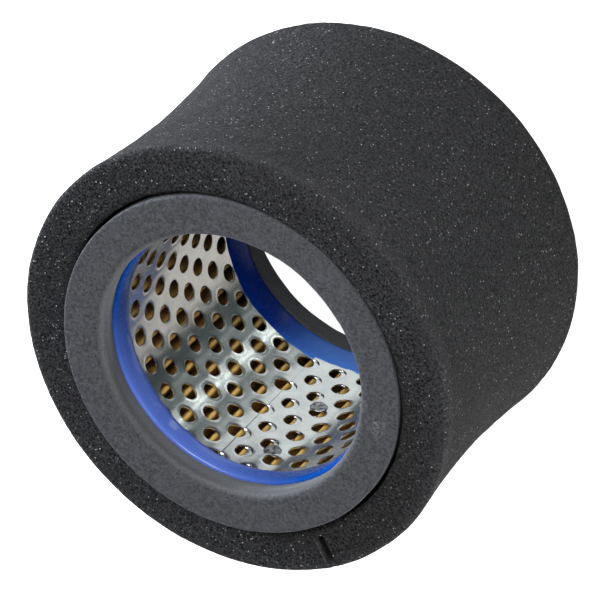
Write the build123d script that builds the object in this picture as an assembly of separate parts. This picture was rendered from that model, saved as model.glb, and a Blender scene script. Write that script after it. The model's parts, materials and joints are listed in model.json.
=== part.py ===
from build123d import *
import math
import os

# Cylindrical air filter element of a small engine, standing on its rear gasket, in millimetres.
# The origin is the centre of the rear gasket's sealing face, and +Z runs along the bore to the front.

# Whole element
ELEMENT_LENGTH = 54.8          # over both gaskets
BORE_RADIUS = 23.7             # of both gaskets and both end rings

# Gaskets, flat foam rings
GASKET_THICKNESS = 4.7
GASKET_BEVEL = 0.9             # stands for the soft inner edge of the sealing face

# Moulded end rings
CAP_FLANGE_THICKNESS = 1.6     # between the gasket and the end of the core
CAP_GROOVE_DEPTH = 2.2         # the core is set this deep in the end ring
CAP_GROOVE_CLEARANCE = 0.05    # from the core to each wall of the groove
CAP_LIP_THICKNESS = 0.25       # of the lip inside the core, at its end
CAP_LIP_REACH = 1.2            # the lip goes on this far past the groove
CAP_RIM = 0.8                  # from the paper's fold tips to the outside

# Perforated core
CORE_SHEET = 0.25
HOLE_RADIUS = 1.55
HOLE_SIDES = 8                 # each round hole is drawn with as many sides, at its true area
HOLE_COLUMNS = 56              # round the core, where the rolled sheet bends a little at each column
RING_PITCH = 4.33              # along the core, every other ring shifted by a column
SEAM_ANGLE = -133.3            # of the inner end's edge, in degrees from +X
SEAM_OVERLAP_COLUMNS = 3.25
SEAM_JOGGLE_COLUMNS = 0.5      # the outer end has stepped out this far before the inner end's edge
SEAM_BEND_COLUMNS = 0.2        # length of that step
SEAM_COLUMN_PHASE = 0.25       # the edge lies this share of a step past a column

# Pleated paper
PLEATS = 54
PLEAT_DEPTH = 5.2
PAPER_SHEET = 0.6              # with its coating
PAPER_CORE_GAP = 0.25          # from the fold tips to the core's seam

# Foam sleeve
SLEEVE_FIT = 0.3               # from the sleeve to the end rings that it is pulled over
SLEEVE_WALL = 8.3              # at both ends
SLEEVE_WAIST_DEPTH = 1.5       # how far the outside is pulled in at mid length
SLEEVE_SETBACK = 1.9           # from the sealing faces to the sleeve's ends
SLIT_ANGLE = -88.5             # of the glued seam, in degrees from +X
SLIT_WIDTH = 0.8
SLIT_DEPTH = 2.4               # along the axis, from each end face
SLIT_LENGTH = 5.9              # across the end face, in from the outside

# Heights of one end, counted from its sealing face
CAP_FACE = GASKET_THICKNESS
GROOVE_FLOOR = CAP_FACE + CAP_FLANGE_THICKNESS
CAP_TOP = GROOVE_FLOOR + CAP_GROOVE_DEPTH
LIP_TOP = CAP_TOP + CAP_LIP_REACH

# Radii, from the bore outwards
CORE_INNER_RADIUS = BORE_RADIUS + CAP_LIP_THICKNESS + CAP_GROOVE_CLEARANCE
CORE_OUTER_RADIUS = CORE_INNER_RADIUS + CORE_SHEET
SEAM_OUTER_RADIUS = CORE_OUTER_RADIUS + CORE_SHEET
SEAM_CORNER_RADIUS = SEAM_OUTER_RADIUS / math.cos(math.pi / HOLE_COLUMNS)
PAPER_INNER_RADIUS = SEAM_CORNER_RADIUS + PAPER_CORE_GAP
PAPER_OUTER_RADIUS = PAPER_INNER_RADIUS + PLEAT_DEPTH
CAP_OUTER_RADIUS = PAPER_OUTER_RADIUS + CAP_RIM
SLEEVE_INNER_RADIUS = CAP_OUTER_RADIUS + SLEEVE_FIT
SLEEVE_END_RADIUS = SLEEVE_INNER_RADIUS + SLEEVE_WALL
SLEEVE_WAIST_RADIUS = SLEEVE_END_RADIUS - SLEEVE_WAIST_DEPTH

# Directions, and the rings of holes that fit between the two lips
COLUMN_STEP = 360 / HOLE_COLUMNS
RING_COUNT = 1 + math.floor((ELEMENT_LENGTH - 2 * LIP_TOP - 2 * HOLE_RADIUS) / RING_PITCH)


def turned(*outline):
    """A solid of revolution about the Z axis, from the curves of its closed (radius, height) outline."""
    with BuildPart() as solid:
        with BuildSketch(Plane.XZ):
            add(make_face(Curve() + list(outline)))
        revolve(axis=Axis.Z)
    return solid.part


def mirrored_to_front(piece):
    """The same piece at the other end of the element."""
    return mirror(piece, about=Plane.XY.offset(ELEMENT_LENGTH / 2))


def make_gasket():
    """Rear gasket: a flat ring with a soft inner edge on its sealing face."""
    return turned(Polyline(
        (BORE_RADIUS + GASKET_BEVEL, 0),
        (CAP_OUTER_RADIUS, 0),
        (CAP_OUTER_RADIUS, GASKET_THICKNESS),
        (BORE_RADIUS, GASKET_THICKNESS),
        (BORE_RADIUS, GASKET_BEVEL),
        close=True,
    ))


def make_cap():
    """Rear end ring: a flange, a groove that holds the core's end, and a lip that thins out inside the core."""
    groove_inner = BORE_RADIUS + CAP_LIP_THICKNESS
    groove_outer = SEAM_CORNER_RADIUS + CAP_GROOVE_CLEARANCE
    return turned(Polyline(
        (BORE_RADIUS, CAP_FACE),
        (CAP_OUTER_RADIUS, CAP_FACE),
        (CAP_OUTER_RADIUS, CAP_TOP),
        (groove_outer, CAP_TOP),
        (groove_outer, GROOVE_FLOOR),
        (groove_inner, GROOVE_FLOOR),
        (groove_inner, LIP_TOP),
        close=True,
    ))


def column_angle(column):
    """Direction of a column of holes, in degrees from +X."""
    return SEAM_ANGLE + (column - SEAM_COLUMN_PHASE) * COLUMN_STEP


def sheet_section(inner_radius):
    """Section of one layer of the rolled sheet, with a slight bend at each column of holes."""
    turn = column_angle(0)
    outside = RegularPolygon(inner_radius + CORE_SHEET, HOLE_COLUMNS, major_radius=False, rotation=turn)
    inside = RegularPolygon(inner_radius, HOLE_COLUMNS, major_radius=False, rotation=turn)
    return outside - inside


def sector(start_angle, sweep):
    """Slice of a disc that is larger than the core."""
    arc = CenterArc((0, 0), 2 * CORE_OUTER_RADIUS, start_angle, sweep)
    return make_face(Curve() + [arc, Line((0, 0), arc @ 0), Line((0, 0), arc @ 1)])


def hole_punches():
    """One prism for each hole, in rings along the core that are staggered by a column."""
    corner_radius = HOLE_RADIUS * math.sqrt(2 * math.pi / HOLE_SIDES / math.sin(2 * math.pi / HOLE_SIDES))
    spare = 2 * CORE_SHEET
    depth = SEAM_CORNER_RADIUS - CORE_INNER_RADIUS + 2 * spare
    outline = RegularPolygon(corner_radius, HOLE_SIDES)
    punch = Pos(CORE_INNER_RADIUS - spare, 0, 0) * Rot(0, 90, 0) * extrude(outline, amount=depth)
    first_ring = (ELEMENT_LENGTH - (RING_COUNT - 1) * RING_PITCH) / 2
    punches = []
    for ring in range(RING_COUNT):
        height = first_ring + ring * RING_PITCH
        for column in range(ring % 2, HOLE_COLUMNS, 2):
            punches.append(Pos(0, 0, height) * Rot(0, 0, column_angle(column)) * punch)
    return punches


def make_core():
    """Perforated core: a rolled sheet whose outer end is joggled out over its inner end and welded to it."""
    joggle = SEAM_JOGGLE_COLUMNS * COLUMN_STEP
    before_edge = joggle + SEAM_BEND_COLUMNS * COLUMN_STEP
    overlap = SEAM_OVERLAP_COLUMNS * COLUMN_STEP
    inner_layer = sheet_section(CORE_INNER_RADIUS) - sector(SEAM_ANGLE - joggle, joggle)
    outer_layer = sheet_section(CORE_OUTER_RADIUS) & sector(SEAM_ANGLE - before_edge, before_edge + overlap)
    length = ELEMENT_LENGTH - 2 * GROOVE_FLOOR
    tube = Pos(0, 0, GROOVE_FLOOR) * extrude(inner_layer + outer_layer, amount=length)
    return tube - hole_punches()


def pleat_outline(tip_radius, valley_radius):
    """Closed zig-zag, as a face, with outer corners at one radius and inner corners, one of them on +X, at the other."""
    step = math.pi / PLEATS
    corners = []
    for fold in range(2 * PLEATS):
        radius = valley_radius if fold % 2 == 0 else tip_radius
        corners.append((radius * math.cos(fold * step), radius * math.sin(fold * step)))
    return make_face(Polyline(*corners, close=True))


def make_paper():
    """Pleated paper: one strip folded in a zig-zag and closed to a loop, between the two end rings."""
    half_pitch = math.pi * (PAPER_INNER_RADIUS + PAPER_OUTER_RADIUS) / 2 / PLEATS
    slope = math.atan2(half_pitch, PLEAT_DEPTH)
    fold = PAPER_SHEET / math.sin(slope)
    outside = pleat_outline(PAPER_OUTER_RADIUS, PAPER_INNER_RADIUS + fold)
    inside = pleat_outline(PAPER_OUTER_RADIUS - fold, PAPER_INNER_RADIUS)
    length = ELEMENT_LENGTH - 2 * CAP_TOP
    return Pos(0, 0, CAP_TOP) * extrude(outside - inside, amount=length)


def make_sleeve():
    """Foam sleeve: waisted outside, straight inside, its glued seam open in a short slit at both ends."""
    bottom = SLEEVE_SETBACK
    top = ELEMENT_LENGTH - SLEEVE_SETBACK
    bottom_edge = (SLEEVE_END_RADIUS, bottom)
    top_edge = (SLEEVE_END_RADIUS, top)
    waist = (SLEEVE_WAIST_RADIUS, ELEMENT_LENGTH / 2)
    sleeve = turned(
        Polyline(top_edge, (SLEEVE_INNER_RADIUS, top), (SLEEVE_INNER_RADIUS, bottom), bottom_edge),
        ThreePointArc(bottom_edge, waist, top_edge),
    )
    slit = Box(2 * SLIT_LENGTH, SLIT_WIDTH, 2 * SLIT_DEPTH)
    for height in (bottom, top):
        sleeve -= Rot(0, 0, SLIT_ANGLE) * Pos(SLEEVE_END_RADIUS, 0, height) * slit
    return sleeve


def write(piece, name):
    """Write one node as a STEP file."""
    piece.label = name
    export_step(piece, f"parts/{name}.step")


def main():
    os.makedirs("parts", exist_ok=True)
    gasket = make_gasket()
    cap = make_cap()
    write(gasket, "rear_gasket")
    write(cap, "rear_end_cap")
    write(mirrored_to_front(cap), "front_end_cap")
    write(mirrored_to_front(gasket), "front_gasket")
    write(make_core(), "perforated_core")
    write(make_paper(), "pleated_paper")
    write(make_sleeve(), "foam_prefilter_sleeve")


main()
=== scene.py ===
import json
import math
import random

import bmesh
import bpy
from mathutils import Matrix, Vector, noise


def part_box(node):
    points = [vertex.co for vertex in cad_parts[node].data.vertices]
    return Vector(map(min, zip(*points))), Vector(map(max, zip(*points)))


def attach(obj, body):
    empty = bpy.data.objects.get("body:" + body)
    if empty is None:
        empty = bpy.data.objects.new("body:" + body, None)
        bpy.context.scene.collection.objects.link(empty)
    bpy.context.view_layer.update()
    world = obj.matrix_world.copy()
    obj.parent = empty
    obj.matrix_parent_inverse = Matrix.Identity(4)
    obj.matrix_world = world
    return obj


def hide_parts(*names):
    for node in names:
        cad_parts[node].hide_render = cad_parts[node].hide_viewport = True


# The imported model, whose sizes the pieces below are worked out from. Metres, +Z along the bore.
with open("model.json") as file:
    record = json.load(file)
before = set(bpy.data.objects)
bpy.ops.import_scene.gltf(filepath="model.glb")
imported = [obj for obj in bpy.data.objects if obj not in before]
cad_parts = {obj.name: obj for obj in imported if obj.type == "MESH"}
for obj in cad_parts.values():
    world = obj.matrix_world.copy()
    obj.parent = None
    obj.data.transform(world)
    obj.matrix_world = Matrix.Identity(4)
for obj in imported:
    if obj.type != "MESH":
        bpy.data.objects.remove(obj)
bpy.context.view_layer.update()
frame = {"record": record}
MM = 0.001


# Sizes read from the frame

def outer_radius(node):
    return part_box(node)[1][0]


def low(node):
    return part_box(node)[0][2]


def high(node):
    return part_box(node)[1][2]


LENGTH = high("front_gasket")
MIDDLE = LENGTH / 2
BORE = next(m for m in frame["record"]["mounts"] if m["name"] == "bore")["dims"]["r_mm"] * MM
GASKET_R = outer_radius("front_gasket")
GASKET_T = high("rear_gasket")
CAP_TOP = low("pleated_paper")
CORE_LOW = low("perforated_core")
CORE_SHEET = 0.25 * MM                                        # its thickness in the solid
CORE_R = outer_radius("perforated_core") - 2 * CORE_SHEET     # inside of the rolled sheet
PAPER_R = outer_radius("pleated_paper")
SLEEVE_R = outer_radius("foam_prefilter_sleeve")
SLEEVE_LOW = low("foam_prefilter_sleeve")
SLEEVE_HIGH = high("foam_prefilter_sleeve")


# Front face of the foam sleeve, for its shape and its material

FACE_TILT = 1.4 * MM                # the face is cut a little askew
TILT_ANGLE = math.radians(25)       # where it stands highest
FACE_RISE = 0.4 * MM                # of its middle above the solid's face
FACE_LEVEL = SLEEVE_HIGH + FACE_RISE
FRAY_AND_HIGHLIGHT_ANGLE = math.radians(-15)      # its rim is fraying, and painted paler as a highlight, most on this side
SLIT_ANGLE = math.radians(-88.8)
SLIT_HALF = 0.8 * MM                # half its width
SLIT_INNER = 33.6 * MM              # the seam gapes between these radii
SLIT_OUTER = 38.5 * MM
SLIT_DEEP = 2.6 * MM


# Mesh helpers

CORNER_LENGTH = 1.6                 # of a right-angled bend, for a rounding of 1
WAVE_RADIUS = 30 * MM               # of the cylinder on which waves have their true size


def new_piece(name, points, faces, material):
    """A smooth mesh object that rides on the only body."""
    mesh = bpy.data.meshes.new(name)
    mesh.from_pydata(points, [], faces)
    mesh.validate()
    mesh.materials.append(material)
    mesh.polygons.foreach_set("use_smooth", [True] * len(mesh.polygons))
    piece = bpy.data.objects.new(name, mesh)
    bpy.context.scene.collection.objects.link(piece)
    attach(piece, "root")
    return piece


def polar(radius, angle, height):
    return (radius * math.cos(angle), radius * math.sin(angle), height)


def even_angles(count):
    return [2 * math.pi * k / count for k in range(count)]


def ring_mesh(angles, loop_length, point):
    """Points and faces of a closed ring. point(i, angle) is the i-th point of its section there."""
    points = [point(i, angle) for angle in angles for i in range(loop_length)]
    count = len(angles)
    faces = []
    for a in range(count):
        here, there = a * loop_length, (a + 1) % count * loop_length
        for i in range(loop_length):
            j = (i + 1) % loop_length
            faces.append((here + i, there + i, there + j, here + j))
    return points, faces


def rounded_loop(corners, step):
    """Section points along straight runs and round corners. A corner is (radius, height, rounding)."""
    loop = []
    count = len(corners)
    for k in range(count):
        before = Vector(corners[k - 1][:2])
        here = Vector(corners[k][:2])
        after = Vector(corners[(k + 1) % count][:2])
        rounding = corners[k][2]
        start = here + (before - here).normalized() * rounding
        end = here + (after - here).normalized() * rounding
        bends = max(2, round(CORNER_LENGTH * rounding / step))
        for b in range(bends + 1):
            t = b / bends
            loop.append((1 - t) ** 2 * start + 2 * t * (1 - t) * here + t * t * end)
        next_rounding = corners[(k + 1) % count][2]
        run_end = after + (here - after).normalized() * next_rounding
        steps = max(1, round((run_end - end).length / step))
        for s in range(1, steps):
            loop.append(end.lerp(run_end, s / steps))
    return loop


def wave(angle, height, size, seed, octaves=3):
    """Smooth noise on a cylinder, from -1 to 1, with features of about the given size."""
    place = Vector(polar(WAVE_RADIUS / size, angle, height / size))
    return noise.fractal(place + Vector((seed, 2.3 * seed, -1.7 * seed)), 1.0, 2.0, octaves)


def smooth(value, start, end):
    """0 up to start, 1 from end on, and a soft rise between them."""
    t = max(0.0, min(1.0, (value - start) / (end - start)))
    return t * t * (3 - 2 * t)


# Material helpers

MIX_FACTOR, MIX_A, MIX_B = 0, 6, 7  # inputs of a Mix node that mixes colours
MIX_RESULT = 2


class Shader:
    """Short names for building a node material."""

    def __init__(self, name):
        self.material = bpy.data.materials.new(name)
        self.material.use_nodes = True
        self.nodes = self.material.node_tree.nodes
        self.links = self.material.node_tree.links
        self.bsdf = next(n for n in self.nodes if n.type == "BSDF_PRINCIPLED")
        self.coords = self.add("ShaderNodeTexCoord").outputs["Object"]

    def add(self, kind, **settings):
        node = self.nodes.new(kind)
        for key, value in settings.items():
            setattr(node, key, value)
        return node

    def put(self, value, socket):
        """A colour, a number or a link into a socket."""
        if isinstance(value, tuple):
            socket.default_value = (*value, 1)
        elif isinstance(value, (int, float)):
            socket.default_value = value
        else:
            self.links.new(value, socket)

    def base(self, **values):
        """Values that are the same all over the surface, on the shader's own sockets."""
        for key, value in values.items():
            self.put(value, self.bsdf.inputs[key.replace("_", " ")])

    def feed(self, source, name):
        self.put(source, self.bsdf.inputs[name])

    def noise(self, size, detail=3.0, roughness=0.55):
        node = self.add("ShaderNodeTexNoise")
        for key, number in (("Scale", 1 / size), ("Detail", detail), ("Roughness", roughness)):
            node.inputs[key].default_value = number
        self.put(self.coords, node.inputs["Vector"])
        return node.outputs["Fac"]

    def cells(self, size, feature="F1", output="Distance"):
        node = self.add("ShaderNodeTexVoronoi", feature=feature)
        node.inputs["Scale"].default_value = 1 / size
        self.put(self.coords, node.inputs["Vector"])
        return node.outputs[output]

    def vector(self, operation, other, output="Value"):
        """A vector operation on the place and a fixed vector."""
        node = self.add("ShaderNodeVectorMath", operation=operation)
        self.put(self.coords, node.inputs[0])
        node.inputs[1].default_value = other
        return node.outputs[output]

    def along(self, direction):
        """How far the place lies along a direction."""
        return self.vector("DOT_PRODUCT", direction)

    def distance(self, point):
        return self.vector("DISTANCE", point)

    def axis_distance(self):
        """Distance from the axis of the bore."""
        length = self.add("ShaderNodeVectorMath", operation="LENGTH")
        self.put(self.vector("MULTIPLY", (1, 1, 0), "Vector"), length.inputs[0])
        return length.outputs["Value"]

    def math(self, operation, *values, clamp=False):
        node = self.add("ShaderNodeMath", operation=operation, use_clamp=clamp)
        for value, socket in zip(values, node.inputs):
            self.put(value, socket)
        return node.outputs[0]

    def times(self, product, *others):
        for value in others:
            product = self.math("MULTIPLY", product, value)
        return product

    def spread(self, value, from_low, from_high, to_low=0.0, to_high=1.0):
        """The range from low to high spread over another one, and held at its ends."""
        node = self.add("ShaderNodeMapRange")
        self.put(value, node.inputs["Value"])
        node.inputs["From Min"].default_value = from_low
        node.inputs["From Max"].default_value = from_high
        node.inputs["To Min"].default_value = to_low
        node.inputs["To Max"].default_value = to_high
        return node.outputs["Result"]

    def mix(self, factor, a, b):
        node = self.add("ShaderNodeMix", data_type="RGBA")
        for value, place in ((factor, MIX_FACTOR), (a, MIX_A), (b, MIX_B)):
            self.put(value, node.inputs[place])
        return node.outputs[MIX_RESULT]

    def bump(self, height, distance, strength):
        node = self.add("ShaderNodeBump")
        node.inputs["Strength"].default_value = strength
        node.inputs["Distance"].default_value = distance
        self.put(height, node.inputs["Height"])
        self.feed(node.outputs["Normal"], "Normal")


# Foam material

FOAM_LIGHT = (0.030, 0.030, 0.0325)
FOAM_DARK = (0.0003, 0.0004, 0.0008)
FOAM_STRUT = (0.064, 0.064, 0.067)
FOAM_PATCH = (0.011, 0.011, 0.0125)
# painted highlight on the rim of the front face, on top of its fraying, and on one side of the slit
FOAM_PAINTED_EDGE_HIGHLIGHT = (0.080, 0.081, 0.085)
# painted glints on the struts, which also get a lower roughness
FOAM_PAINTED_GLINT = (0.42, 0.42, 0.42)
# painted shade inside the slit of the front face
FOAM_SLIT_SHADE = (0.0008, 0.0008, 0.001)
GLINT_CELL = 0.36 * MM
GLINT_RARITY = 0.78                 # share of the cells without a glint
PALE_RIM_CORE = 0.4 * MM                # the pale rim, painted highlight on fraying foam, is full up to this far from the edge, visibly as a line up to here, and faintly up to here
PALE_RIM_LINE = 0.9 * MM                # visibly as a line up to here,
PALE_RIM_HAZE = 2.6 * MM                # and faintly up to here


def foam_rim_fray_and_highlight(s, level):
    """Mask of the pale rim, fraying foam with a painted highlight where the edge catches light: most
    along the edge of the front face, less on both sides of it.
    """
    below_rim = s.times(s.math("SUBTRACT", FACE_LEVEL, level), 0.6)
    off_edge = s.math("MAXIMUM", below_rim, s.math("SUBTRACT", SLEEVE_R, s.axis_distance()))
    line = s.spread(off_edge, PALE_RIM_CORE, PALE_RIM_LINE, 0.35, 0.0)
    towards = s.along(polar(1, FRAY_AND_HIGHLIGHT_ANGLE, 0))
    fray_and_highlight_side = s.spread(towards, -0.2 * SLEEVE_R, 0.9 * SLEEVE_R, 0.2, 1.0)
    haze = s.times(s.spread(off_edge, PALE_RIM_CORE, PALE_RIM_HAZE, 0.55, 0.0), fray_and_highlight_side)
    return s.math("MAXIMUM", line, haze)


def foam_slit(s, level):
    """Masks of the slit in the front face: painted shade for its inside, and a painted highlight along
    its edge on one side.
    """
    beside = s.along(polar(1, SLIT_ANGLE + math.pi / 2, 0))
    radius = s.along(polar(1, SLIT_ANGLE, 0))
    lowest = FACE_LEVEL - SLIT_DEEP - 0.6 * MM
    in_slit = s.times(s.spread(radius, SLIT_INNER - 0.6 * MM, SLIT_INNER),
                      s.spread(radius, SLIT_OUTER - 0.6 * MM, SLIT_OUTER, 1.0, 0.0),
                      s.spread(level, lowest, lowest + 0.4 * MM))
    # painted shade: the inside of the slit is darkened where shade falls
    slit_shade = s.times(in_slit,
                   s.spread(level, FACE_LEVEL - 1.0 * MM, FACE_LEVEL - 0.4 * MM, 1.0, 0.0),
                   s.spread(s.math("ABSOLUTE", beside), SLIT_HALF, SLIT_HALF + 0.1 * MM, 1.0, 0.0))
    off_lip = s.math("ABSOLUTE", s.math("ADD", beside, SLIT_HALF + 0.25 * MM))
    # painted highlight on the lit edge of the slit, on one side only
    lip_highlight = s.times(in_slit,
                  s.spread(off_lip, 0.05 * MM, 0.3 * MM, 0.4, 0.0),
                  s.spread(level, FACE_LEVEL - 0.8 * MM, FACE_LEVEL - 0.5 * MM))
    return slit_shade, lip_highlight


def foam_painted_glints(s):
    """Painted glints: small pale spots in a few of the cells, each with a strength of its own."""
    pick = s.add("ShaderNodeSeparateColor")
    s.put(s.cells(GLINT_CELL, output="Color"), pick.inputs["Color"])
    near = s.spread(s.cells(GLINT_CELL), 0.25, 0.42, 1.0, 0.0)
    chosen = s.math("GREATER_THAN", pick.outputs["Red"], GLINT_RARITY)
    strength = s.times(s.math("POWER", pick.outputs["Green"], 5.0), 0.9)
    return s.times(chosen, near, strength)


def foam_material():
    """Black open-cell foam: dark pores between paler struts, with painted glints on a few of them, a
    painted highlight on the pale, fraying rim and painted shade in the slit.
    """
    s = Shader("foam")
    struts = s.cells(0.62 * MM, feature="DISTANCE_TO_EDGE")
    pores = s.cells(0.55 * MM)
    fine = s.noise(0.42 * MM, detail=3, roughness=0.7)
    patches = s.noise(9 * MM, detail=2)
    depth = s.math("ADD", s.times(pores, 0.55), s.times(fine, 0.75))
    colour = s.mix(s.spread(depth, 0.42, 0.78), FOAM_LIGHT, FOAM_DARK)
    colour = s.mix(s.spread(struts, 0.0, 0.10, 0.55, 0.0), colour, FOAM_STRUT)
    colour = s.mix(s.spread(patches, 0.35, 0.7, 0.0, 0.3), colour, FOAM_PATCH)
    level = s.along(polar(-FACE_TILT / SLEEVE_R, TILT_ANGLE, 1))
    # painted highlight along the rim, where its rounded edge catches light, mixed with pale fraying
    rim_fray_and_highlight = s.times(foam_rim_fray_and_highlight(s, level), s.spread(fine, 0.46, 0.64))
    colour = s.mix(rim_fray_and_highlight, colour, FOAM_PAINTED_EDGE_HIGHLIGHT)
    slit_shade, lip_highlight = foam_slit(s, level)
    colour = s.mix(lip_highlight, colour, FOAM_PAINTED_EDGE_HIGHLIGHT)
    # painted glints, made paler in colour as well as smoother
    painted_glint = foam_painted_glints(s)
    colour = s.mix(painted_glint, colour, FOAM_PAINTED_GLINT)
    # painted shade in the slit
    colour = s.mix(slit_shade, colour, FOAM_SLIT_SHADE)
    s.feed(colour, "Base Color")
    s.feed(s.spread(painted_glint, 0, 1, 0.92, 0.4), "Roughness")
    s.base(Specular_IOR_Level=0.3)
    s.bump(depth, 0.4 * MM, 1.0)
    return s.material


# Gasket material

GASKET_DARK = (0.0205, 0.0210, 0.0243)
GASKET_PALE = (0.0790, 0.0812, 0.0888)
GASKET_SPECK = (0.092, 0.095, 0.102)
GASKET_CLOUD = (0.058, 0.061, 0.069)
# painted highlight along the rounded edge of the bore
GASKET_LIP_HIGHLIGHT = (0.125, 0.127, 0.132)
# painted light on the front gasket's inner wall
GASKET_WALL_PAINTED_LIGHT = (0.175, 0.178, 0.185)
GASKET_SCUFF = (0.20, 0.205, 0.21)
SCUFF_PLACE = polar(27.3 * MM, math.radians(-35), LENGTH)


def gasket_material():
    """Grey closed-cell foam rubber: finely speckled, with a painted highlight along the edge of the
    bore, painted light on the front one's inner wall, and one patch rubbed pale.
    """
    s = Shader("gasket")
    grain = s.noise(0.5 * MM, detail=3, roughness=0.75)
    specks = s.cells(0.45 * MM)
    clouds = s.noise(6 * MM, detail=3)
    colour = s.mix(s.spread(grain, 0.32, 0.68), GASKET_DARK, GASKET_PALE)
    colour = s.mix(s.spread(specks, 0.0, 0.35, 0.35, 0.0), colour, GASKET_SPECK)
    colour = s.mix(s.spread(clouds, 0.4, 0.7, 0.0, 0.3), colour, GASKET_CLOUD)
    radius = s.axis_distance()
    height = s.along((0, 0, 1))
    # painted highlight where the rounded edge of the bore catches light
    lip_highlight = s.spread(radius, BORE + 0.1 * MM, BORE + 0.9 * MM, 0.42, 0.0)
    colour = s.mix(lip_highlight, colour, GASKET_LIP_HIGHLIGHT)
    # painted light: the front gasket's inner wall is made paler where the lamps leave it in shade
    front_wall_painted_light = s.times(s.spread(radius, BORE + 0.5 * MM, BORE + 1.2 * MM, 0.85, 0.0),
                         s.spread(height, LENGTH - 2.4 * MM, LENGTH - 1.0 * MM, 1.0, 0.0),
                         s.math("GREATER_THAN", height, MIDDLE))
    colour = s.mix(front_wall_painted_light, colour, GASKET_WALL_PAINTED_LIGHT)
    rubbed = s.times(s.spread(s.distance(SCUFF_PLACE), 0.4 * MM, 2.6 * MM, 1.0, 0.0),
                     s.spread(s.noise(0.6 * MM, detail=3), 0.48, 0.66), 0.6)
    colour = s.mix(rubbed, colour, GASKET_SCUFF)
    s.feed(colour, "Base Color")
    s.base(Roughness=0.75, Specular_IOR_Level=0.35)
    s.bump(s.math("SUBTRACT", grain, s.times(specks, 0.5)), 0.15 * MM, 0.8)
    return s.material


# Materials of the end rings, core and paper

FRONT_BLUE_DEEP = (0.003, 0.066, 0.36)
# the pale colours are a painted sheen and painted light on one side of each ring
FRONT_BLUE_PAINTED_SHEEN = (0.096, 0.172, 0.58)
REAR_BLUE_DEEP = (0.0005, 0.026, 0.26)
REAR_BLUE_PAINTED_SHEEN = (0.090, 0.260, 0.84)
TIN_BRIGHT = (0.80, 0.81, 0.80)
TIN_SMUDGED = (0.70, 0.71, 0.71)
WELD_BRIGHT = (0.80, 0.81, 0.83)
WELD_DARK = (0.10, 0.10, 0.12)
PAPER_PALE = (0.86, 0.58, 0.19)
PAPER_DARK = (0.72, 0.44, 0.12)
PAPER_BLOTCH = (0.8, 0.52, 0.18)
PAPER_PAINTED_SHADE = (0.24, 0.125, 0.035)     # painted shade between the folds


def end_ring_material(name, deep, pale, painted_sheen_angle, painted_sheen_start, painted_sheen_end, gloss, coat):
    """Blue moulded end ring: glossy and a little uneven, with a painted sheen and painted light, paler
    towards one side.
    The painted sheen grows from painted_sheen_start to painted_sheen_end, which are distances along
    painted_sheen_angle."""
    s = Shader(name)
    flow = s.noise(5 * MM, detail=2)
    fine = s.noise(0.8 * MM, detail=2)
    towards = s.along(polar(1, painted_sheen_angle, 0))
    cloud = s.spread(flow, 0.35, 0.7, -0.06, 0.06)
    # painted sheen and painted light: paler towards the lit side
    painted_sheen = s.math("ADD", s.spread(towards, painted_sheen_start, painted_sheen_end), cloud, clamp=True)
    s.feed(s.mix(painted_sheen, deep, pale), "Base Color")
    s.feed(s.spread(fine, 0.3, 0.7, 0.20, 0.30), "Roughness")
    s.base(Specular_IOR_Level=gloss, Coat_Weight=coat, Coat_Roughness=0.10)
    s.bump(s.math("ADD", flow, s.times(fine, 0.06)), 0.2 * MM, 0.3)
    return s.material


def tin_material():
    """Tin-plated steel: bright, slightly smudged, with shallow dents between the punched holes."""
    s = Shader("tin_plate")
    smudge = s.noise(3.5 * MM, detail=4, roughness=0.6)
    fine = s.noise(0.5 * MM, detail=3)
    dents = s.noise(4.5 * MM, detail=1)
    s.feed(s.mix(s.spread(smudge, 0.35, 0.7), TIN_BRIGHT, TIN_SMUDGED), "Base Color")
    s.feed(s.spread(smudge, 0.3, 0.75, 0.21, 0.29), "Roughness")
    s.base(Metallic=1.0)
    s.bump(s.math("ADD", dents, s.times(fine, 0.015)), 0.5 * MM, 0.075)
    return s.material


def weld_material():
    """Dull grey nugget of a spot weld."""
    s = Shader("weld")
    grain = s.noise(0.9 * MM, detail=3, roughness=0.7)
    s.feed(s.mix(s.spread(grain, 0.4, 0.62), WELD_DARK, WELD_BRIGHT), "Base Color")
    s.base(Metallic=1.0, Roughness=0.3)
    s.bump(grain, 0.5 * MM, 0.8)
    return s.material


def paper_material():
    """Amber filter paper of resin-treated fibres, with painted shade between the folds."""
    s = Shader("filter_paper")
    fibre = s.noise(0.6 * MM, detail=4, roughness=0.7)
    blotch = s.noise(7 * MM, detail=2)
    colour = s.mix(s.spread(fibre, 0.3, 0.7), PAPER_PALE, PAPER_DARK)
    colour = s.mix(s.spread(blotch, 0.4, 0.7, 0.0, 0.35), colour, PAPER_BLOTCH)
    # painted shade, deeper between the folds
    fold_shade = s.spread(s.axis_distance(), CORE_R + 1.05 * MM, CORE_R + 1.9 * MM)
    colour = s.mix(s.times(fold_shade, 0.8), colour, PAPER_PAINTED_SHADE)
    s.feed(colour, "Base Color")
    s.base(Roughness=0.7, Specular_IOR_Level=0.3)
    s.bump(fibre, 0.15 * MM, 0.5)
    return s.material


FOAM = foam_material()
GASKET = gasket_material()
FRONT_BLUE = end_ring_material(
    "front_end_ring", FRONT_BLUE_DEEP, FRONT_BLUE_PAINTED_SHEEN, painted_sheen_angle=math.radians(207),
    painted_sheen_start=10 * MM, painted_sheen_end=21.5 * MM, gloss=0.15, coat=0.5)
REAR_BLUE = end_ring_material(
    "rear_end_ring", REAR_BLUE_DEEP, REAR_BLUE_PAINTED_SHEEN, painted_sheen_angle=math.radians(250),
    painted_sheen_start=16.5 * MM, painted_sheen_end=23.0 * MM, gloss=0.08, coat=0.0)
TIN = tin_material()
PAPER = paper_material()
WELD = weld_material()


# Foam sleeve

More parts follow.
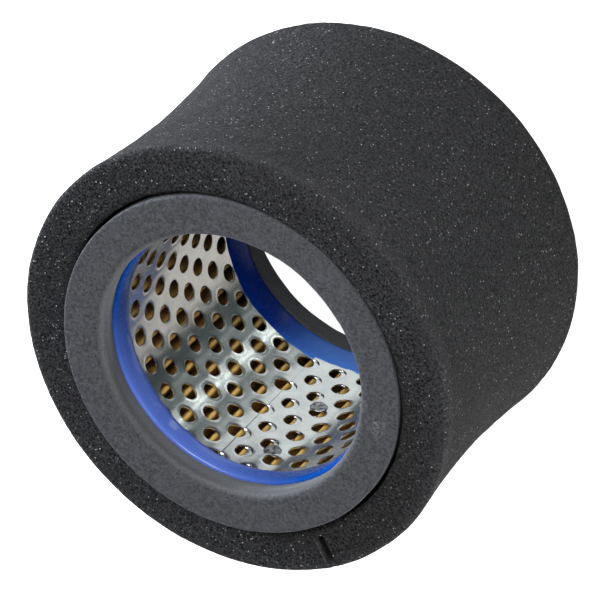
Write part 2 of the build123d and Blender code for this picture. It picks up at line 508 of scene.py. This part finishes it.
SLEEVE_WALL = 8.3 * MM
WAIST_DEPTH = 1.5 * MM
OUTER_EDGE_ROUND = 0.8 * MM
INNER_EDGE_ROUND = 0.6 * MM
OVAL = 0.25 * MM                    # the hole is this much wider along one line, and narrower across it
OVAL_ANGLE = math.radians(116)
REAR_SHIFT = 0.3 * MM               # the rear end sits this far off the axis
REAR_SHIFT_ANGLE = math.radians(-60)
LUMP, LUMP_SIZE = 0.10 * MM, 7 * MM
GRAIN, GRAIN_SIZE = 0.05 * MM, 1.1 * MM
INSIDE_SHARE = 0.3                  # lumps and grain are this much smaller on the inside
RAGGED, RAGGED_SIZE = 0.16 * MM, 2.2 * MM     # of the edge of the hole
END_LUMP = 0.12 * MM                # unevenness of the end faces
SEAM_DIP = 0.1 * MM                 # the outside dips this much along the glued seam
SLEEVE_STEPS = 420
SLEEVE_SECTION_STEP = 0.75 * MM
SLIT_STEPS = (0.2, 0.45, 0.6, 0.7, 0.8, 0.95, 1.2)     # millimetres to both sides of the slit's middle
SLIT_SKIP = 3                       # even steps that these take the place of, on each side


def sleeve_angles():
    """Even steps round the sleeve, closer together at the slit."""
    angles = [SLIT_ANGLE + 2 * math.pi * k / SLEEVE_STEPS
              for k in range(SLIT_SKIP, SLEEVE_STEPS - SLIT_SKIP + 1)]
    for offset in (0, *SLIT_STEPS, *(-offset for offset in SLIT_STEPS)):
        angles.append(SLIT_ANGLE + 2 * math.pi + offset * MM / SLEEVE_R)
    return sorted(angles)


def make_sleeve():
    inside = SLEEVE_R - SLEEVE_WALL
    loop = rounded_loop([
        (inside, SLEEVE_LOW, INNER_EDGE_ROUND),
        (SLEEVE_R, SLEEVE_LOW, OUTER_EDGE_ROUND),
        (SLEEVE_R, SLEEVE_HIGH, OUTER_EDGE_ROUND),
        (inside, SLEEVE_HIGH, INNER_EDGE_ROUND),
    ], SLEEVE_SECTION_STEP)

    def place(i, angle):
        radius, height = loop[i]
        outwards = (radius - inside) / SLEEVE_WALL
        along = (height - MIDDLE) / (SLEEVE_HIGH - MIDDLE)
        at_hole = max(0.0, 1 - outwards * 3)
        at_end = max(0.0, abs(along) * 4 - 3)
        radius -= WAIST_DEPTH * (1 - along * along) * outwards
        radius += OVAL * math.cos(2 * (angle - OVAL_ANGLE)) * at_hole
        lumps = wave(angle, height, LUMP_SIZE, seed=3.1)
        grain = wave(angle, height + radius, GRAIN_SIZE, seed=8.4, octaves=2)
        radius += (LUMP * lumps + GRAIN * grain) * (1 if outwards > 0.5 else INSIDE_SHARE)
        radius += RAGGED * wave(angle, 0, RAGGED_SIZE, seed=6.6) * at_hole
        radius += REAR_SHIFT * (1 - along) / 2 * math.cos(angle - REAR_SHIFT_ANGLE) * outwards
        height += math.copysign(END_LUMP * lumps * at_end, along)
        if along > 0:
            height += along * (FACE_RISE + FACE_TILT * math.cos(angle - TILT_ANGLE))
        aside = (angle - SLIT_ANGLE + math.pi) % (2 * math.pi) - math.pi
        across = abs(aside) * radius / SLIT_HALF
        if across < 1 and outwards > 0.1:
            gaping = smooth(radius, SLIT_INNER - 0.5 * MM, SLIT_INNER + 0.5 * MM)
            gaping *= 1 - smooth(radius, SLIT_OUTER - 1.2 * MM, SLIT_OUTER)
            height -= math.copysign(SLIT_DEEP * (1 - across ** 5) * gaping * at_end, along)
            radius -= SEAM_DIP * (1 - across) * outwards
        return polar(radius, angle, height)

    points, faces = ring_mesh(sleeve_angles(), len(loop), place)
    piece = new_piece("foam_sleeve", points, faces, FOAM)
    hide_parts("foam_prefilter_sleeve")


# Gaskets

GASKET_BORE = 23.4 * MM             # the soft edge stands a little inside the rigid bore
FRONT_BEDDED_BORE = 24.05 * MM      # bores of the faces that lie on the end rings
REAR_BEDDED_BORE = 23.3 * MM
LIP_ROUND = 1.7 * MM                # of the sealing face's inner edge
FACE_EDGE_ROUND = 0.3 * MM          # of its outer edge
BEDDED_EDGE_ROUND = 0.25 * MM
BORE_SHIFT = 0.35 * MM
BORE_SHIFT_ANGLE = math.radians(10)
LIP_WIDTH = 3 * MM                  # the shift and the waves of the bore fade out over this width
SWELL, SWELL_SIZE = 0.06 * MM, 9 * MM
LIP_WAVE, LIP_WAVE_SIZE = 0.12 * MM, 5 * MM
FACE_WAVE = 0.05 * MM
GASKET_STEPS = 240
GASKET_SECTION_STEP = 0.45 * MM


def make_gasket(name, node, face, inner, bedded_bore):
    """A flat ring: face is the height of its sealing face, inner that of its bedded face."""
    loop = rounded_loop([
        (bedded_bore, inner, BEDDED_EDGE_ROUND),
        (GASKET_BORE, face, LIP_ROUND),
        (GASKET_R, face, FACE_EDGE_ROUND),
        (GASKET_R, inner, BEDDED_EDGE_ROUND),
    ], GASKET_SECTION_STEP)

    def place(i, angle):
        radius, height = loop[i]
        swell = wave(angle, height, SWELL_SIZE, seed=5.2)
        near_face = 1 - abs(height - face) / GASKET_T
        near_bore = max(0.0, 1 - (radius - GASKET_BORE) / LIP_WIDTH)
        shift = BORE_SHIFT * math.cos(angle - BORE_SHIFT_ANGLE) * near_bore * near_face
        radius += SWELL * swell + shift
        radius += LIP_WAVE * wave(angle, 0, LIP_WAVE_SIZE, seed=7.7) * near_bore
        height += math.copysign(FACE_WAVE, MIDDLE - face) * (1 + swell) * near_face
        return polar(radius, angle, height)

    points, faces = ring_mesh(even_angles(GASKET_STEPS), len(loop), place)
    if face > inner:
        faces = [f[::-1] for f in faces]
    piece = new_piece(name, points, faces, GASKET)
    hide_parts(node)


# End rings

RING_STEPS = 320
RING_R = GASKET_R - 0.4 * MM
RING_FACE = GASKET_T - 0.1 * MM     # where the ring's body starts, counted from the sealing face
RING_FLOOR = GASKET_T + 0.6 * MM    # of the trough that holds the core and the paper
TROUGH_R = RING_R - 0.8 * MM        # at the trough's mouth
BEAD_BACK = 24.1 * MM               # radius from which the bead of each ring stands into the bore
BEAD_DEEP = 0.85 * MM
BEAD_FULL = 7.2 * MM                # from the sealing face to where it stands in most
BEAD_STEPS = 12                     # on each side of that
SHELF_POWER = 0.57                  # below 1, it squares the corner beside the gasket
LONG_CREEP, LONG_CREEP_SIZE = 0.22 * MM, 8 * MM
SHORT_CREEP, SHORT_CREEP_SIZE = 0.10 * MM, 2.6 * MM
BEAD_WAVE, BEAD_WAVE_SIZE = 0.06 * MM, 5 * MM
FRONT_BEAD_END = 10.0 * MM          # from the sealing face to where the bead ends
FRONT_DIP = 1.6 * MM                # it ends this much earlier round one side
FRONT_DIP_ANGLE = math.radians(236)
FRONT_DIP_WIDTH = math.radians(38)
REAR_BEAD_END = 10.75 * MM
REAR_SKEW = 0.15 * MM
REAR_SKEW_ANGLE = math.radians(170)


def make_end_ring(name, node, material, seed, upwards, bead_end):
    """Moulded ring that grips the core and paper, with a bead that creeps over the inside of the core.
    The bead is a shelf beside the gasket, and rounds off to the core at bead_end(angle)."""
    fixed = [
        (RING_R, RING_FACE),
        (RING_R, CAP_TOP),
        (TROUGH_R, CAP_TOP),
        (TROUGH_R - 0.1 * MM, RING_FLOOR),
        (CORE_R + 0.3 * MM, RING_FLOOR),
    ]
    turns = [math.pi / 2 * k / BEAD_STEPS for k in range(-BEAD_STEPS, BEAD_STEPS + 1)]

    def place(i, angle):
        if i < len(fixed):
            radius, height = fixed[i]
        else:
            turn = turns[i - len(fixed)]
            inwards, along = math.cos(turn), math.sin(turn)
            if turn < 0:
                creep = LONG_CREEP * wave(angle, 0, LONG_CREEP_SIZE, seed)
                creep += SHORT_CREEP * wave(angle, 0, SHORT_CREEP_SIZE, seed + 4)
                height = BEAD_FULL - along * (bead_end(angle) + creep - BEAD_FULL)
            else:
                inwards, along = inwards ** SHELF_POWER, along ** SHELF_POWER
                height = BEAD_FULL - along * (BEAD_FULL - RING_FACE)
            radius = BEAD_BACK - BEAD_DEEP * inwards
            radius += BEAD_WAVE * wave(angle, height, BEAD_WAVE_SIZE, seed + 9) * inwards
        return polar(radius, angle, LENGTH - height if upwards else height)

    points, faces = ring_mesh(even_angles(RING_STEPS), len(fixed) + len(turns), place)
    if upwards:
        faces = [f[::-1] for f in faces]
    piece = new_piece(name, points, faces, material)
    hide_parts(node)


def front_bead_end(angle):
    away = (angle - FRONT_DIP_ANGLE) / FRONT_DIP_WIDTH
    return FRONT_BEAD_END - FRONT_DIP * math.exp(-away * away)


def rear_bead_end(angle):
    return REAR_BEAD_END + REAR_SKEW * math.cos(angle - REAR_SKEW_ANGLE)


# Perforated core: a flat punched sheet, rolled up with a joggled lap

COLUMNS_PER_TURN = 56.39
COLUMN_STEP = 2 * math.pi * CORE_R / COLUMNS_PER_TURN
RING_PITCH = 4.335 * MM
FIRST_RING = LENGTH - 12.0 * MM       # height of the first ring that the front end ring leaves open
RINGS = range(-3, 13)                 # counted from the first one towards the rear
SPARE_COLUMNS = 2                     # patches past the ends of the sheet, which are cut off again
SPARE_HEIGHT = 6 * MM                 # those further than this past its edges are left out
HOLE_R = 1.52 * MM
SEAM_ANGLE = math.radians(-132.5)     # edge of the inner end of the sheet
EDGE_TO_COLUMN = -0.12                # where the cut edge runs, in columns from the first hole centres
OVERLAP = 3.23                        # columns of the outer end that lie behind the inner end
SHEET_COLUMNS = COLUMNS_PER_TURN + OVERLAP
LAP_STEP = 0.14 * MM                  # the inner end lies this far inside the circle, the outer outside
LAP_CLEARANCE = 0.01 * MM
LAP_RISE = (2.7, 3.7)                 # columns between which the inner end comes out to the circle
JOGGLE = (COLUMNS_PER_TURN - 1.2, COLUMNS_PER_TURN - 0.5)     # and the outer end steps out from it
BULGE = 0.28 * MM                     # the sheet springs out this far past the lap
BULGE_RISE = (2.7, 3.9)               # columns between which it does so,
BULGE_FALL = (5, 15)                  # and comes back
COLUMN_BEND = 0.012 * MM              # and stands out this much more at each column
CUT_ROUND = 0.11 * MM                 # the shears rounded the cut edge this much,
CUT_WIDTH = 0.065                     # over this share of a column
RIM_ROUND = 0.06 * MM                 # and the punch rounded the rims of the holes
RIM_WIDTHS = (0.05 * MM, 0.14 * MM)   # where that rounding is a third, and where it ends
BACK_SHARE = 0.3                      # of that rounding, by which the back of the sheet stands out
SIDES_PER_EDGE = 4                    # sides of a hole for each edge of its six-sided patch
SHARP_ANGLE = math.radians(40)        # edges that turn more than this are shaded sharp
SPOTS = ((2.66, 14.8), (2.88, 31.0), (2.7, 46.6))     # columns past the edge, and depth from the front
SPOT_R = 1.6 * MM
SPOT_STEPS = 28
SPOT_MIDDLE = 0.02 * MM               # how far the middle of a spot stands into the bore
SPOT_PROFILE = (                      # share of its radius, and millimetres into the bore
    (0.3, 0.025),
    (0.55, 0.05),
    (0.72, 0.09),
    (0.86, 0.08),
    (0.95, 0.04),
    (1.0, -0.01),
    (0.9, -0.12),                     # the rim of the back
)


def cell_outline():
    """Corners of the six-sided patch of sheet round one hole, which tiles the staggered pattern."""
    half = COLUMN_STEP
    other = Vector((COLUMN_STEP, RING_PITCH))
    reach = other.length_squared / 2
    at_side = (reach - half * other.x) / other.y
    at_top = reach / other.y
    return [Vector(p) for p in ((half, -at_side), (half, at_side), (0, at_top),
                                (-half, at_side), (-half, -at_side), (0, -at_top))]


def patch_loops():
    """Loops of the patch round one hole, starting at its rim, each with its depth in the sheet."""
    corners = cell_outline()
    outline = []
    for here, there in zip(corners, corners[1:] + corners[:1]):
        outline += [here.lerp(there, s / SIDES_PER_EDGE) for s in range(SIDES_PER_EDGE)]
    hole = [d.normalized() * HOLE_R for d in outline]
    near, far = ([d.normalized() * (HOLE_R + width) for d in outline] for width in RIM_WIDTHS)
    half_way = [d.lerp(h, 0.45) for d, h in zip(outline, hole)]
    return (hole, RIM_ROUND), (near, RIM_ROUND / 3), (far, 0), (half_way, 0), (outline, 0)


def punched_sheet():
    """The flat sheet as a bmesh: patches round all holes, cut to its outline."""
    bm = bmesh.new()
    low_z, high_z = CORE_LOW, LENGTH - CORE_LOW
    patch = patch_loops()
    for column in range(-SPARE_COLUMNS, math.ceil(SHEET_COLUMNS) + SPARE_COLUMNS):
        for ring in RINGS:
            centre = Vector(((column - EDGE_TO_COLUMN) * COLUMN_STEP, FIRST_RING - ring * RING_PITCH))
            staggered = (ring + column) % 2 == 1
            if not staggered or not low_z - SPARE_HEIGHT < centre.y < high_z + SPARE_HEIGHT:
                continue
            loops = [[bm.verts.new((*(centre + d), rise)) for d in loop] for loop, rise in patch]
            for inner, outer in zip(loops, loops[1:]):
                for k in range(len(inner)):
                    n = (k + 1) % len(inner)
                    bm.faces.new((inner[k], outer[k], outer[n], inner[n]))
    bmesh.ops.remove_doubles(bm, verts=bm.verts, dist=0.01 * MM)
    # a place on each cut, the side it faces, and whether what lies on that side goes
    cuts = (
        ((0, 0, 0), (-1, 0, 0), True),
        ((SHEET_COLUMNS * COLUMN_STEP, 0, 0), (1, 0, 0), True),
        ((0, low_z, 0), (0, -1, 0), True),
        ((0, high_z, 0), (0, 1, 0), True),
        ((CUT_WIDTH * COLUMN_STEP, 0, 0), (1, 0, 0), False),
    )
    for where, side, trim in cuts:
        everything = bm.verts[:] + bm.edges[:] + bm.faces[:]
        bmesh.ops.bisect_plane(bm, geom=everything, plane_co=where, plane_no=side, clear_outer=trim)
    bmesh.ops.remove_doubles(bm, verts=bm.verts, dist=0.005 * MM)
    bmesh.ops.dissolve_degenerate(bm, edges=bm.edges, dist=0.001 * MM)
    return bm


def sheet_wrap(along, height, out):
    """From the flat sheet to the rolled one: along is counted in columns from the inner end's edge."""
    radius = CORE_R + out
    if out < CORE_SHEET / 2:
        radius += CUT_ROUND * (1 - min(1.0, along / CUT_WIDTH))
    radius -= LAP_STEP * (1 - smooth(along, *LAP_RISE))
    radius += BULGE * smooth(along, *BULGE_RISE) * (1 - smooth(along, *BULGE_FALL))
    radius += (LAP_STEP - LAP_CLEARANCE) * smooth(along, *JOGGLE)
    radius += COLUMN_BEND * math.cos(2 * math.pi * (along + EDGE_TO_COLUMN))
    return polar(radius, SEAM_ANGLE + along * 2 * math.pi / COLUMNS_PER_TURN, height)


def make_core():
    bm = punched_sheet()
    grown = bmesh.ops.extrude_face_region(bm, geom=bm.faces[:])
    for vertex in (g for g in grown["geom"] if isinstance(g, bmesh.types.BMVert)):
        vertex.co.z = CORE_SHEET + BACK_SHARE * vertex.co.z
    bmesh.ops.recalc_face_normals(bm, faces=bm.faces)
    for vertex in bm.verts:
        vertex.co = sheet_wrap(vertex.co.x / COLUMN_STEP, vertex.co.y, vertex.co.z)
    mesh = bpy.data.meshes.new("core_tube")
    bm.to_mesh(mesh)
    bm.free()
    mesh.materials.append(TIN)
    mesh.polygons.foreach_set("use_smooth", [True] * len(mesh.polygons))
    mesh.set_sharp_from_angle(angle=SHARP_ANGLE)
    piece = bpy.data.objects.new("core_tube", mesh)
    bpy.context.scene.collection.objects.link(piece)
    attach(piece, "root")
    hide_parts("perforated_core")
    for number, (column, depth) in enumerate(SPOTS, 1):
        make_spot(number, column, LENGTH - depth * MM)


def make_spot(number, column, height):
    """A round, dished weld spot on the inner sheet of the lap, closed by a back inside the sheet."""
    back = SPOT_PROFILE[-1][1] * MM
    points = [sheet_wrap(column, height, -SPOT_MIDDLE), sheet_wrap(column, height, -back)]
    first, last = 2, 2 + (len(SPOT_PROFILE) - 1) * SPOT_STEPS
    for share, rise in SPOT_PROFILE:
        for turn in even_angles(SPOT_STEPS):
            ragged = 1 + 0.05 * math.sin(3 * turn + number) + 0.03 * math.sin(7 * turn)
            reach = SPOT_R * share * ragged
            along = column + reach * math.cos(turn) / COLUMN_STEP
            points.append(sheet_wrap(along, height + reach * math.sin(turn), -rise * MM))
    faces = []
    for k in range(SPOT_STEPS):
        n = (k + 1) % SPOT_STEPS
        faces.append((0, first + n, first + k))
        for near in range(first, last, SPOT_STEPS):
            far = near + SPOT_STEPS
            faces.append((near + k, near + n, far + n, far + k))
        faces.append((1, last + k, last + n))
    piece = new_piece(f"weld_spot_{number}", points, faces, WELD)


# Pleated paper

PLEATS = 54
FOLDS = 2 * PLEATS
HALF_PLEAT = math.pi / PLEATS
PAPER_WALL = 0.25 * MM              # half the thickness of the paper
PAPER_INNER = CORE_R + 0.85 * MM    # the inner folds stand just behind the core
FOLD_LEAN = 0.09                    # of a fold to either side, as a share of half a pleat
FOLD_SWAY = 0.08                    # how much that changes along a fold
SWAY_SIZE = 9 * MM
FOLD_DEPTH = 0.3 * MM               # how much folds differ in radius
FLANK_STEPS = 8
PAPER_ROWS = 12
PAPER_LOW = RING_FLOOR - 0.2 * MM
PAPER_HIGH = LENGTH - PAPER_LOW
PAPER_SEED = 7


def make_paper():
    """One strip folded in a zig-zag and closed to a loop, between the floors of both end rings."""
    chance = random.Random(PAPER_SEED)
    lean = [chance.uniform(-FOLD_LEAN, FOLD_LEAN) for _ in range(FOLDS)]
    deep = [chance.uniform(0.0, FOLD_DEPTH) for _ in range(FOLDS)]

    def fold_place(fold, height):
        """Radius and angle of the middle of a fold: even ones lie inside, odd ones outside."""
        if fold % 2:
            radius = PAPER_R - PAPER_WALL - deep[fold]
        else:
            radius = PAPER_INNER + PAPER_WALL + deep[fold] / 3
        sway = FOLD_SWAY * noise.noise(Vector((fold * 1.7, height / SWAY_SIZE, 0.5)))
        return radius, (lean[fold] + sway) * HALF_PLEAT

    def centre_line(height):
        """Flanks that run nearly straight out from rounded folds."""
        line = []
        for fold in range(FOLDS):
            radius, swing = fold_place(fold, height)
            next_radius, next_swing = fold_place((fold + 1) % FOLDS, height)
            for k in range(FLANK_STEPS):
                share = k / FLANK_STEPS
                t = 0.5 - 0.5 * math.cos(math.pi * share)
                aside = 0.35 * t + 0.65 * share
                angle = (fold + aside) * HALF_PLEAT + swing + (next_swing - swing) * aside
                line.append(Vector(polar(radius + (next_radius - radius) * t, angle, 0)[:2]))
        return line

    points, faces = [], []
    for row in range(PAPER_ROWS):
        height = PAPER_LOW + (PAPER_HIGH - PAPER_LOW) * row / (PAPER_ROWS - 1)
        line = centre_line(height)
        count = len(line)
        for side in (1, -1):
            for k in range(count):
                run = (line[(k + 1) % count] - line[k - 1]).normalized()
                out = Vector((run.y, -run.x))
                points.append((*(line[k] + side * PAPER_WALL * out), height))
    for row in range(PAPER_ROWS - 1):
        for side in range(2):
            base, above = (2 * row + side) * count, (2 * row + 2 + side) * count
            for k in range(count):
                n = (k + 1) % count
                quad = (base + k, base + n, above + n, above + k)
                faces.append(quad if side == 0 else quad[::-1])
    for row, flip in ((0, True), (PAPER_ROWS - 1, False)):
        outer, inner = 2 * row * count, (2 * row + 1) * count
        for k in range(count):
            n = (k + 1) % count
            quad = (outer + k, outer + n, inner + n, inner + k)
            faces.append(quad[::-1] if flip else quad)
    piece = new_piece("paper_pleats", points, faces, PAPER)
    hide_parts("pleated_paper")


make_sleeve()
make_gasket("gasket_front", "front_gasket", face=LENGTH, inner=LENGTH - GASKET_T,
            bedded_bore=FRONT_BEDDED_BORE)
make_gasket("gasket_rear", "rear_gasket", face=0.0, inner=GASKET_T,
            bedded_bore=REAR_BEDDED_BORE)
make_end_ring("end_ring_front", "front_end_cap", FRONT_BLUE, seed=2.0, upwards=True,
              bead_end=front_bead_end)
make_end_ring("end_ring_rear", "rear_end_cap", REAR_BLUE, seed=6.5, upwards=False,
              bead_end=rear_bead_end)
make_core()
make_paper()


# Camera at the photograph's viewing angle

CAMERA_TARGET = Vector((-0.527, -0.314, 27.895)) * MM
CAMERA_DISTANCE = 673.73 * MM
CAMERA_AZIMUTH = 24.366             # degrees, as are the next two
CAMERA_ELEVATION = 50.932
CAMERA_ROLL = 134.214
CAMERA_LENS = 240                   # millimetres, as is the sensor
CAMERA_SENSOR = 36
CLIP_START, CLIP_END = 0.05, 20


def direction(azimuth, elevation):
    """Unit vector from the element towards a camera or lamp, from angles in degrees."""
    a, e = math.radians(azimuth), math.radians(elevation)
    return Vector((math.cos(a) * math.cos(e), math.sin(a) * math.cos(e), math.sin(e)))


def make_camera():
    data = bpy.data.cameras.new("camera")
    data.lens = CAMERA_LENS
    data.sensor_width = CAMERA_SENSOR
    data.clip_start, data.clip_end = CLIP_START, CLIP_END
    camera = bpy.data.objects.new("camera", data)
    bpy.context.scene.collection.objects.link(camera)
    back = direction(CAMERA_AZIMUTH, CAMERA_ELEVATION)
    level = Vector((0, 0, 1)).cross(back).normalized()
    roll = math.radians(CAMERA_ROLL)
    up = back.cross(level) * math.cos(roll) + level * math.sin(roll)
    turn = Matrix((up.cross(back), up, back)).transposed().to_4x4()
    camera.matrix_world = Matrix.Translation(CAMERA_TARGET + back * CAMERA_DISTANCE) @ turn
    bpy.context.scene.camera = camera


# Floor, world and lamps

FLOOR_OPENING = 28 * MM             # under the bore, so that light also comes in through the far end
FLOOR_RINGS = (FLOOR_OPENING, 0.2, 1.0, 6.0)
FLOOR_STEPS = 64
FLOOR_COLOUR = (0.76, 0.76, 0.76)
FLOOR_GLOW = 0.80                   # seen directly only, so that it lights nothing
WHITE = (1.0, 1.0, 1.0)
AMBIENT = (0.18, 0.18, 0.18)        # light from all round
STUDIO = (0.026, 0.040, 0.041)      # what gloss mirrors between the lamps
WARM = (1.0, 0.98, 0.95)
COOL = (0.93, 1.0, 1.07)
FAR_LEFT_TINT = (1.0, 0.94, 0.87)
FAR_RIGHT_TINT = (0.95, 1.0, 1.0)
STREAK_TINT = (0.92, 1.0, 0.97)
LAMP_DISTANCE = 0.9
FAR_LAMP_DISTANCE = 0.5             # of the lamps below the floor's opening


def make_floor():
    """A wide floor, open only where the element stands over it."""
    points = [polar(r, angle, 0) for r in FLOOR_RINGS for angle in even_angles(FLOOR_STEPS)]
    faces = []
    for inner in range(0, (len(FLOOR_RINGS) - 1) * FLOOR_STEPS, FLOOR_STEPS):
        outer = inner + FLOOR_STEPS
        for k in range(FLOOR_STEPS):
            n = (k + 1) % FLOOR_STEPS
            faces.append((inner + k, outer + k, outer + n, inner + n))
    mesh = bpy.data.meshes.new("floor")
    mesh.from_pydata(points, [], faces)
    floor = bpy.data.objects.new("floor", mesh)
    bpy.context.scene.collection.objects.link(floor)
    s = Shader("floor")
    s.base(Base_Color=FLOOR_COLOUR, Roughness=0.9, Specular_IOR_Level=0.0, Emission_Color=WHITE)
    path = s.add("ShaderNodeLightPath")
    seen = s.math("ADD", path.outputs["Is Camera Ray"], path.outputs["Is Transmission Ray"], clamp=True)
    s.feed(s.times(seen, FLOOR_GLOW), "Emission Strength")
    mesh.materials.append(s.material)


def make_world():
    """White behind the object, a dim studio in reflections, and soft light from all round."""
    world = bpy.data.worlds.new("world")
    bpy.context.scene.world = world
    world.use_nodes = True
    nodes, links = world.node_tree.nodes, world.node_tree.links
    background = next(n for n in nodes if n.type == "BACKGROUND")
    path = nodes.new("ShaderNodeLightPath")
    light, sky = nodes.new("ShaderNodeMix"), nodes.new("ShaderNodeMix")
    light.data_type = sky.data_type = "RGBA"
    light.inputs[MIX_A].default_value = (*AMBIENT, 1)
    light.inputs[MIX_B].default_value = (*STUDIO, 1)
    sky.inputs[MIX_B].default_value = (*WHITE, 1)
    links.new(path.outputs["Is Glossy Ray"], light.inputs[MIX_FACTOR])
    links.new(path.outputs["Is Camera Ray"], sky.inputs[MIX_FACTOR])
    links.new(light.outputs[MIX_RESULT], sky.inputs[MIX_A])
    links.new(sky.outputs[MIX_RESULT], background.inputs["Color"])


def make_lamp(name, azimuth, elevation, distance, size, glow, colour=WHITE, reflected_only=False,
              reflected=True):
    """A soft panel aimed at the element. Glow is the brightness of its face, where 1 is white.
    One that is reflected_only lights nothing, and one that isn't reflected doesn't show in gloss."""
    towards = direction(azimuth, elevation)
    data = bpy.data.lights.new(name, "AREA")
    data.shape = "RECTANGLE"
    data.size, data.size_y = size
    data.energy = glow * math.pi * size[0] * size[1]
    data.color = colour
    lamp = bpy.data.objects.new(name, data)
    bpy.context.scene.collection.objects.link(lamp)
    lamp.location = Vector((0, 0, MIDDLE)) + towards * distance
    lamp.rotation_euler = (-towards).to_track_quat("-Z", "Y").to_euler()
    lamp.visible_camera = not reflected_only
    lamp.visible_diffuse = not reflected_only
    lamp.visible_glossy = reflected


make_camera()
make_floor()
make_world()
make_lamp("soft_key", 58, 48, LAMP_DISTANCE, (0.42, 0.42), 12.2)
make_lamp("soft_fill", 6, 36, LAMP_DISTANCE, (0.42, 0.30), 4.2, reflected=False)
make_lamp("side_key", 140, 7, LAMP_DISTANCE, (0.45, 0.18), 108, COOL, reflected=False)
make_lamp("side_fill", -88, 7, LAMP_DISTANCE, (0.45, 0.18), 56, WARM, reflected=False)
make_lamp("bead_glint_left", 10, 46, LAMP_DISTANCE, (0.40, 0.03), 40, reflected_only=True)
make_lamp("bead_glint_right", 72, 46, LAMP_DISTANCE, (0.55, 0.03), 40, reflected_only=True)
make_lamp("far_end_left", -67, -50, FAR_LAMP_DISTANCE, (0.42, 0.32), 0.55, FAR_LEFT_TINT,
          reflected_only=True)
make_lamp("far_end_right", 92, -50, FAR_LAMP_DISTANCE, (0.44, 0.32), 0.80, FAR_RIGHT_TINT,
          reflected_only=True)
make_lamp("far_end_streak", 28, -50, FAR_LAMP_DISTANCE, (0.032, 0.32), 2.9, STREAK_TINT,
          reflected_only=True)
make_lamp("far_end_faint_streak", 5, -50, FAR_LAMP_DISTANCE, (0.02, 0.32), 0.8, STREAK_TINT,
          reflected_only=True)

bpy.context.scene.view_settings.view_transform = "Standard"
